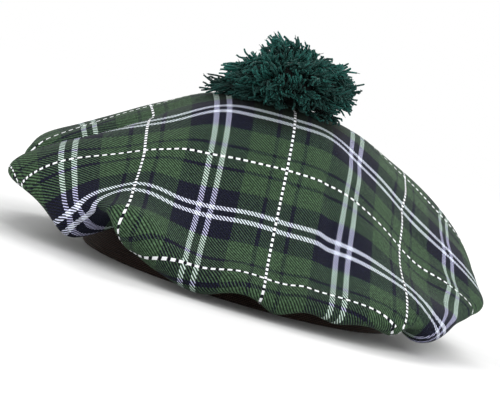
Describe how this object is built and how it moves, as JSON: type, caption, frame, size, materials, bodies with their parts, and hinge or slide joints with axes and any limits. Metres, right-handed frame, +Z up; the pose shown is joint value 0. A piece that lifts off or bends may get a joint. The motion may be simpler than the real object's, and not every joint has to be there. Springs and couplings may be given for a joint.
{
  "type": "tartan beret",
  "caption": "Wide soft tartan beret of the tam kind, gathered on to a ribbed elastic headband, with a cut yarn pompom on top.",
  "frame": {"origin": "middle of the headband's lower edge, on the surface that the hat rests on", "axes": "+Z up along the headband's axis, -Y towards the front, the side with the low drooping hem, +X to the front's right as it is looked at"},
  "size_m": [0.2757, 0.2686, 0.1425],
  "materials": {
    "tartan_cloth": "matt wool-look twill in a green, navy and white tartan",
    "ribbed_elastic": "matt black knitted elastic, finely ribbed",
    "yarn": "fluffy cut yarn, dark bottle green"
  },
  "bodies": {
    "root": {"crown": "tartan_cloth", "headband": "ribbed_elastic", "pompom": "yarn"}
  },
  "joints": []
}
